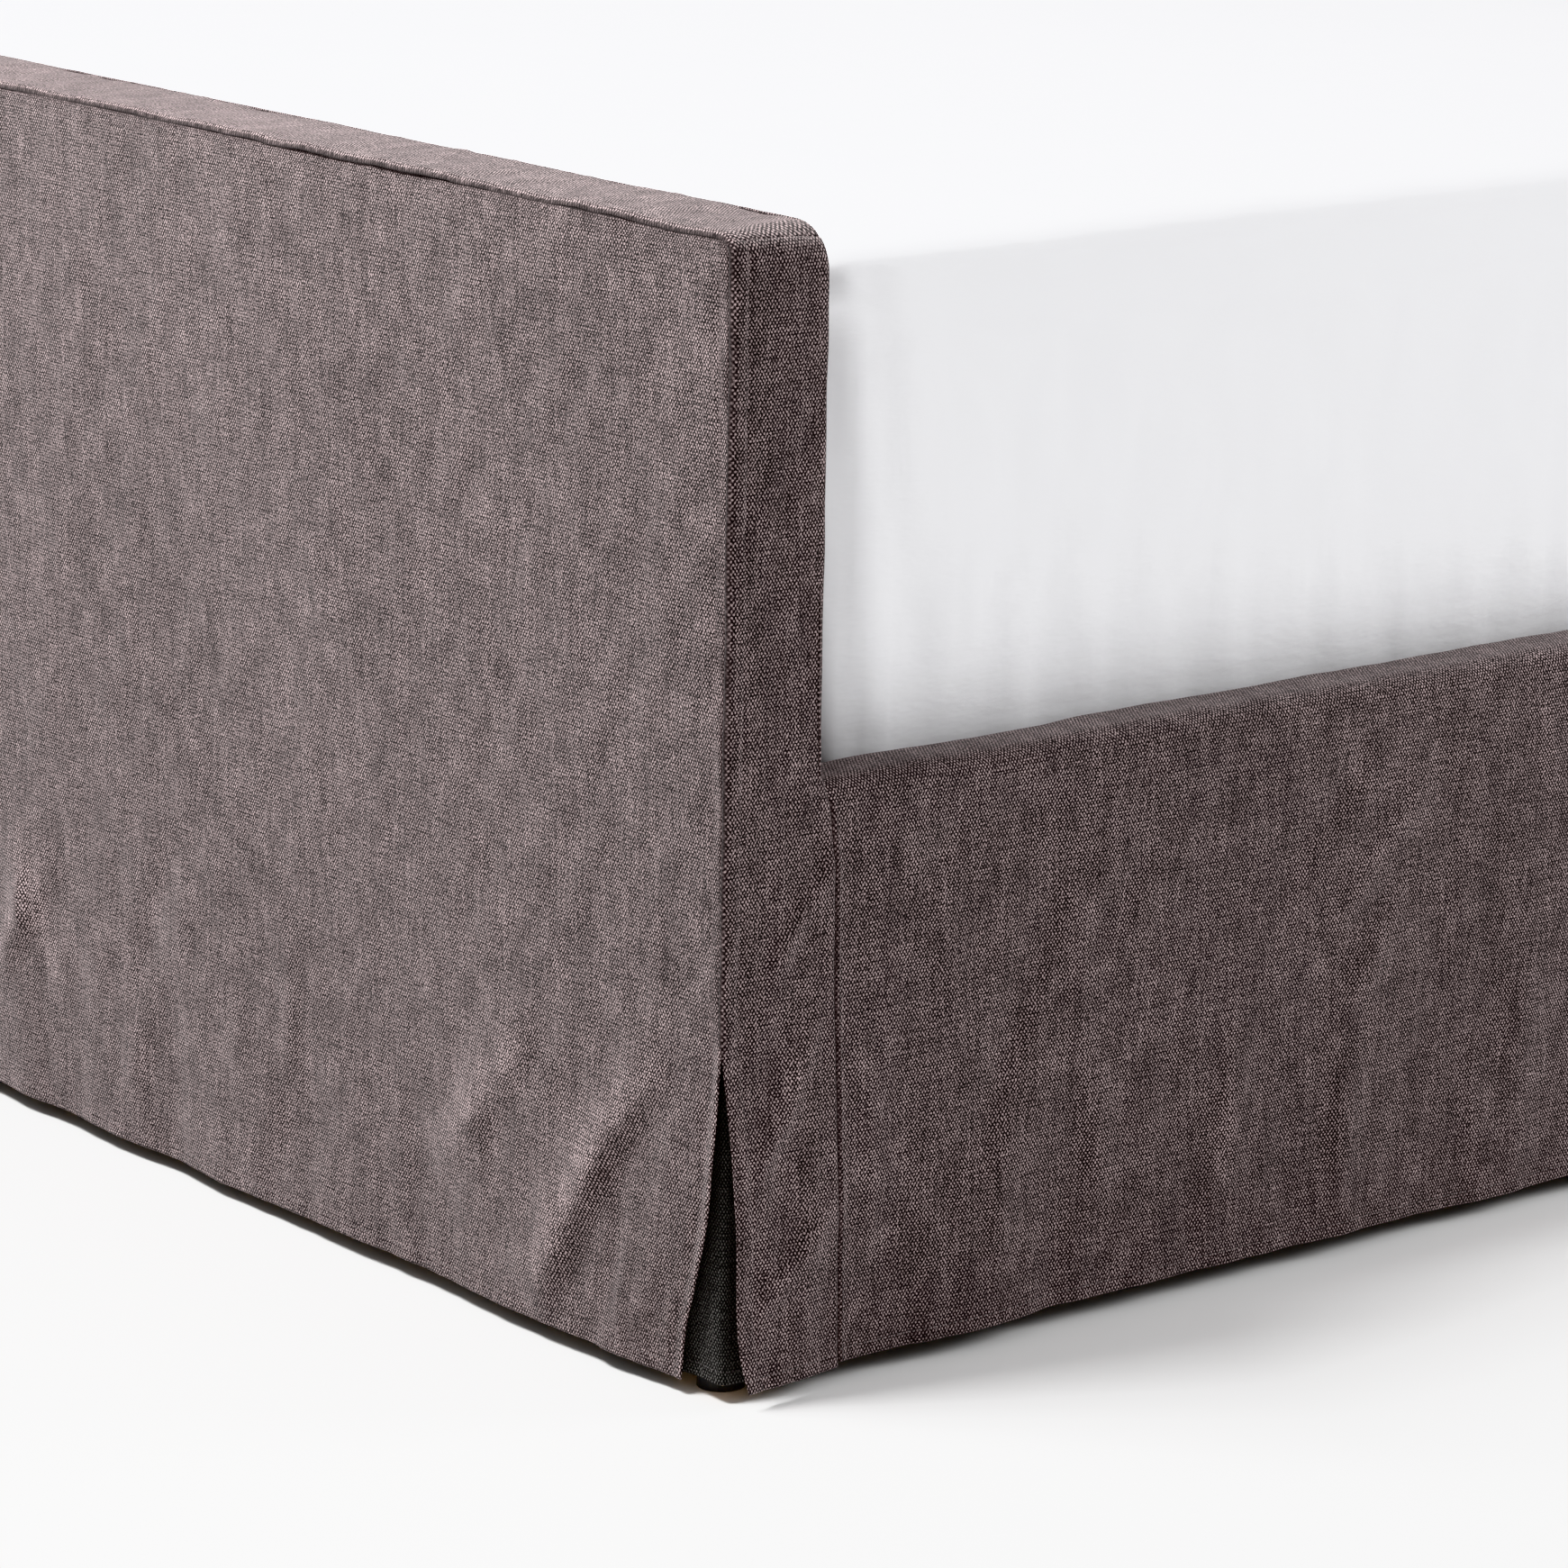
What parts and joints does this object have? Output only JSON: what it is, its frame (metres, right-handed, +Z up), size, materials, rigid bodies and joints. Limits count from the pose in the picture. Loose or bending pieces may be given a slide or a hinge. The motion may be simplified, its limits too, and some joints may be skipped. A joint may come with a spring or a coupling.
{
  "type": "slipcovered bed",
  "caption": "Queen bed with straight boxed footboard and headboard, padded side rails under a floor-length linen slipcover with kick pleats, slat deck and a lift-off sheeted mattress.",
  "frame": {"origin": "middle of the bed's footprint, on the floor", "axes": "+Z up, -Y is the foot and +Y the head, +X is the right side seen from the foot"},
  "size_m": [1.634, 2.206, 1.22],
  "materials": {
    "cover_cloth": "matte",
    "pleat_cloth": "matte",
    "padding": "matte",
    "hardwood": "satin",
    "core_board": "matte",
    "slat_wood": "satin",
    "bracket_steel": "satin",
    "nylon": "matte",
    "ticking": "matte",
    "sheet_linen": "matte"
  },
  "bodies": {
    "frame": {"footboard_top_rail": "hardwood", "footboard_bottom_rail": "hardwood", "footboard_core_panel": "core_board", "footboard_post_left": "hardwood", "footboard_post_right": "hardwood", "footboard_padding": "padding", "footboard_cover_outer": "cover_cloth", "footboard_cover_inner": "cover_cloth", "footboard_cover_top": "cover_cloth", "footboard_cover_end_left": "cover_cloth", "footboard_cover_end_right": "cover_cloth", "footboard_pleat_left": "pleat_cloth", "footboard_pleat_right": "pleat_cloth", "footboard_bracket_left": "bracket_steel", "footboard_bracket_right": "bracket_steel", "footboard_glide_left": "nylon", "footboard_glide_right": "nylon", "headboard_top_rail": "hardwood", "headboard_bottom_rail": "hardwood", "headboard_core_panel": "core_board", "headboard_post_left": "hardwood", "headboard_post_right": "hardwood", "headboard_padding": "padding", "headboard_cover_outer": "cover_cloth", "headboard_cover_inner": "cover_cloth", "headboard_cover_top": "cover_cloth", "headboard_cover_end_left": "cover_cloth", "headboard_cover_end_right": "cover_cloth", "headboard_pleat_left": "pleat_cloth", "headboard_pleat_right": "pleat_cloth", "headboard_bracket_left": "bracket_steel", "headboard_bracket_right": "bracket_steel", "headboard_glide_left": "nylon", "headboard_glide_right": "nylon", "rail_left_board": "hardwood", "rail_left_ledger": "hardwood", "rail_left_padding": "padding", "rail_left_cover": "cover_cloth", "rail_right_board": "hardwood", "rail_right_ledger": "hardwood", "rail_right_padding": "padding", "rail_right_cover": "cover_cloth", "slat_01": "slat_wood", "slat_02": "slat_wood", "slat_03": "slat_wood", "slat_04": "slat_wood", "slat_05": "slat_wood", "slat_06": "slat_wood", "slat_07": "slat_wood", "slat_08": "slat_wood", "slat_09": "slat_wood", "slat_10": "slat_wood", "slat_11": "slat_wood", "centre_beam": "hardwood", "centre_leg_foot": "hardwood", "centre_leg_head": "hardwood"},
    "bedding": {"mattress": "ticking", "fitted_sheet": "sheet_linen"},
    "foot_leveler": {"leveler_foot": "nylon"},
    "head_leveler": {"leveler_head": "nylon"}
  },
  "joints": [
    {"name": "mattress_lift", "type": "slide", "parent": "frame", "child": "bedding", "axis": [0, 0, 1], "range_m": [0, 0.45]},
    {"name": "foot_leveler_screw", "type": "slide", "parent": "frame", "child": "foot_leveler", "axis": [0, 0, -1], "range_m": [0, 0.012]},
    {"name": "head_leveler_screw", "type": "slide", "parent": "frame", "child": "head_leveler", "axis": [0, 0, -1], "range_m": [0, 0.012]}
  ]
}
